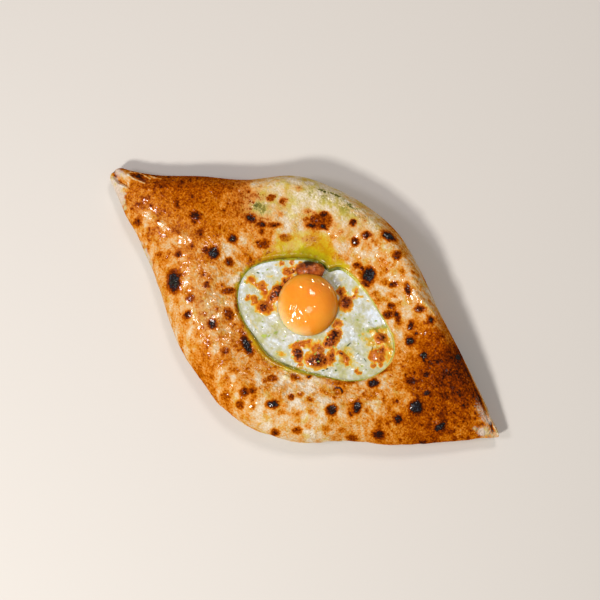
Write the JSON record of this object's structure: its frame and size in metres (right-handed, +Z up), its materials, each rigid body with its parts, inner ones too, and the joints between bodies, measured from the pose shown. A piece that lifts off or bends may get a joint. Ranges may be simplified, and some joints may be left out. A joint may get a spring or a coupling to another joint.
{
  "type": "khachapuri",
  "caption": "Boat-shaped baked cheese bread with pinched pointed ends and an oval eye of herbed cheese holding an egg yolk.",
  "frame": {"origin": "middle of the footprint, on the surface that the bread rests on", "axes": "+X along the boat towards the sharp tip, +Y across it towards the straighter side, +Z up"},
  "size_m": [0.2924, 0.1554, 0.0341],
  "materials": {
    "crust": "baked dough, satin where butter was brushed on, with charred blisters",
    "cheese_filling": "moist melted cheese with set egg white, satin",
    "egg_yolk": "glossy soft yolk",
    "browned_curd": "browned cheese skin, wet with butter"
  },
  "bodies": {
    "root": {"crust": "crust", "cheese_filling": "cheese_filling", "egg_yolk": "egg_yolk", "browned_curd": "browned_curd"}
  },
  "joints": []
}
